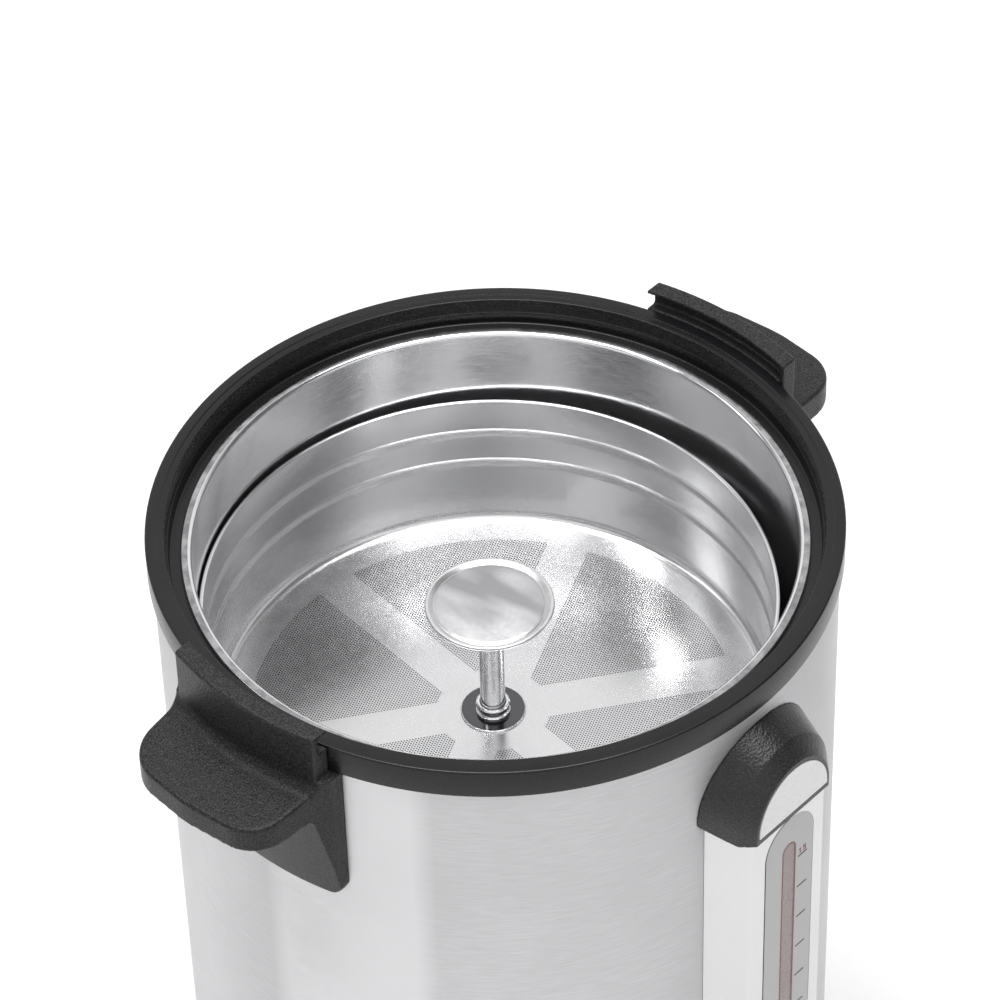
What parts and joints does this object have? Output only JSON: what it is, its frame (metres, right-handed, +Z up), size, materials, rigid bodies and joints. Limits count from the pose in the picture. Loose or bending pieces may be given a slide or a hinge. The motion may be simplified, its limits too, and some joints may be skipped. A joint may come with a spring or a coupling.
{
  "type": "coffee urn",
  "caption": "Double-wall percolator coffee urn, open at the top, with basket, stem and spray cap, side grips, sight gauge column and lever tap.",
  "frame": {"origin": "centre of the foot ring's underside, on the table", "axes": "+Z up along the urn's axis, -Y towards the tap and gauge, X through the two handles"},
  "size_m": [0.382, 0.3555, 0.4802],
  "materials": {
    "brushed_steel": "brushed, fine grain running round the shell",
    "bright_steel": "bright rolled stainless steel",
    "column_steel": "smooth light satin steel",
    "black_plastic": "finely grained black plastic",
    "collar_plastic": "satin black plastic",
    "window_plastic": "grey translucent plastic",
    "badge": "plain light plate",
    "glass": "clear tube",
    "silicone": "soft silicone",
    "tap_chrome": "polished chrome plating",
    "rubber": "matte black rubber",
    "fastener_steel": "plated steel",
    "aluminium": "cast aluminium",
    "element_steel": "sheathed heating tube",
    "spacer_plastic": "white heat-proof plastic",
    "lamp_amber": "translucent amber lens",
    "lamp_green": "translucent green lens",
    "brass": "plain brass",
    "lead_sleeve": "silicone-covered wire"
  },
  "bodies": {
    "urn": {"outer_shell": "brushed_steel", "rim_ring": "collar_plastic", "tank": "bright_steel", "left_handle": "black_plastic", "right_handle": "black_plastic", "handle_screws": "fastener_steel", "gauge_column": "column_steel", "gauge_window": "window_plastic", "column_cap": "black_plastic", "cap_badge": "badge", "sight_tube": "glass", "sight_tube_seals": "silicone", "tap_body": "tap_chrome", "tap_spacer": "spacer_plastic", "tap_seals": "silicone", "tap_nut": "fastener_steel", "tap_bonnet": "black_plastic", "lever_pin": "fastener_steel", "tap_spring": "fastener_steel", "base_ring": "collar_plastic", "foot_ring": "rubber", "bottom_plate": "element_steel", "base_screws": "fastener_steel", "base_nuts": "fastener_steel", "heater_plate": "aluminium", "heating_element": "element_steel", "heater_clamp": "fastener_steel", "clamp_nut": "fastener_steel", "brew_thermostat": "spacer_plastic", "boil_dry_cutout": "spacer_plastic", "terminal_block": "spacer_plastic", "switch_housing": "collar_plastic", "heating_lamp": "lamp_amber", "warm_lamp": "lamp_green", "mains_inlet": "collar_plastic", "inlet_pins": "brass", "leads": "lead_sleeve"},
    "insert": {"stem_tube": "bright_steel", "pump_foot": "bright_steel", "pump_seat": "bright_steel"},
    "basket_set": {"basket": "bright_steel", "basket_hub": "bright_steel"},
    "spray": {"spray_cap": "bright_steel"},
    "pump_disc": {"pump_valve": "bright_steel"},
    "lever": {"tap_lever": "black_plastic"},
    "plunger": {"tap_plunger": "fastener_steel", "seat_cup": "silicone"},
    "rocker": {"power_rocker": "collar_plastic"}
  },
  "joints": [
    {"name": "insert_lift", "type": "slide", "parent": "urn", "child": "insert", "axis": [0, 0, 1], "range_m": [0, 0.43]},
    {"name": "basket_slide", "type": "slide", "parent": "insert", "child": "basket_set", "axis": [0, 0, 1], "range_m": [0, 0.05]},
    {"name": "cap_pull", "type": "slide", "parent": "insert", "child": "spray", "axis": [0, 0, 1], "range_m": [0, 0.03]},
    {"name": "valve_lift", "type": "slide", "parent": "insert", "child": "pump_disc", "axis": [0, 0, 1], "range_m": [0, 0.0025]},
    {"name": "lever_tilt", "type": "hinge", "parent": "urn", "child": "lever", "pos_m": [0, -0.186, 0.153], "axis": [1, 0, 0], "range_deg": [0, 35], "stiffness_Nm_per_rad": 0.3, "springref_deg": -11.46},
    {"name": "plunger_lift", "type": "slide", "parent": "urn", "child": "plunger", "axis": [0, 0, 1], "range_m": [0, 0.005], "deforming": ["tap_spring"]},
    {"name": "rocker_tilt", "type": "hinge", "parent": "urn", "child": "rocker", "pos_m": [0, -0.1556, 0.0275], "axis": [0, 0, 1], "range_deg": [0, 20]}
  ],
  "couplings": [
    {"joint": "lever_tilt", "follows": "plunger_lift", "rad_per_m": 122.1}
  ]
}
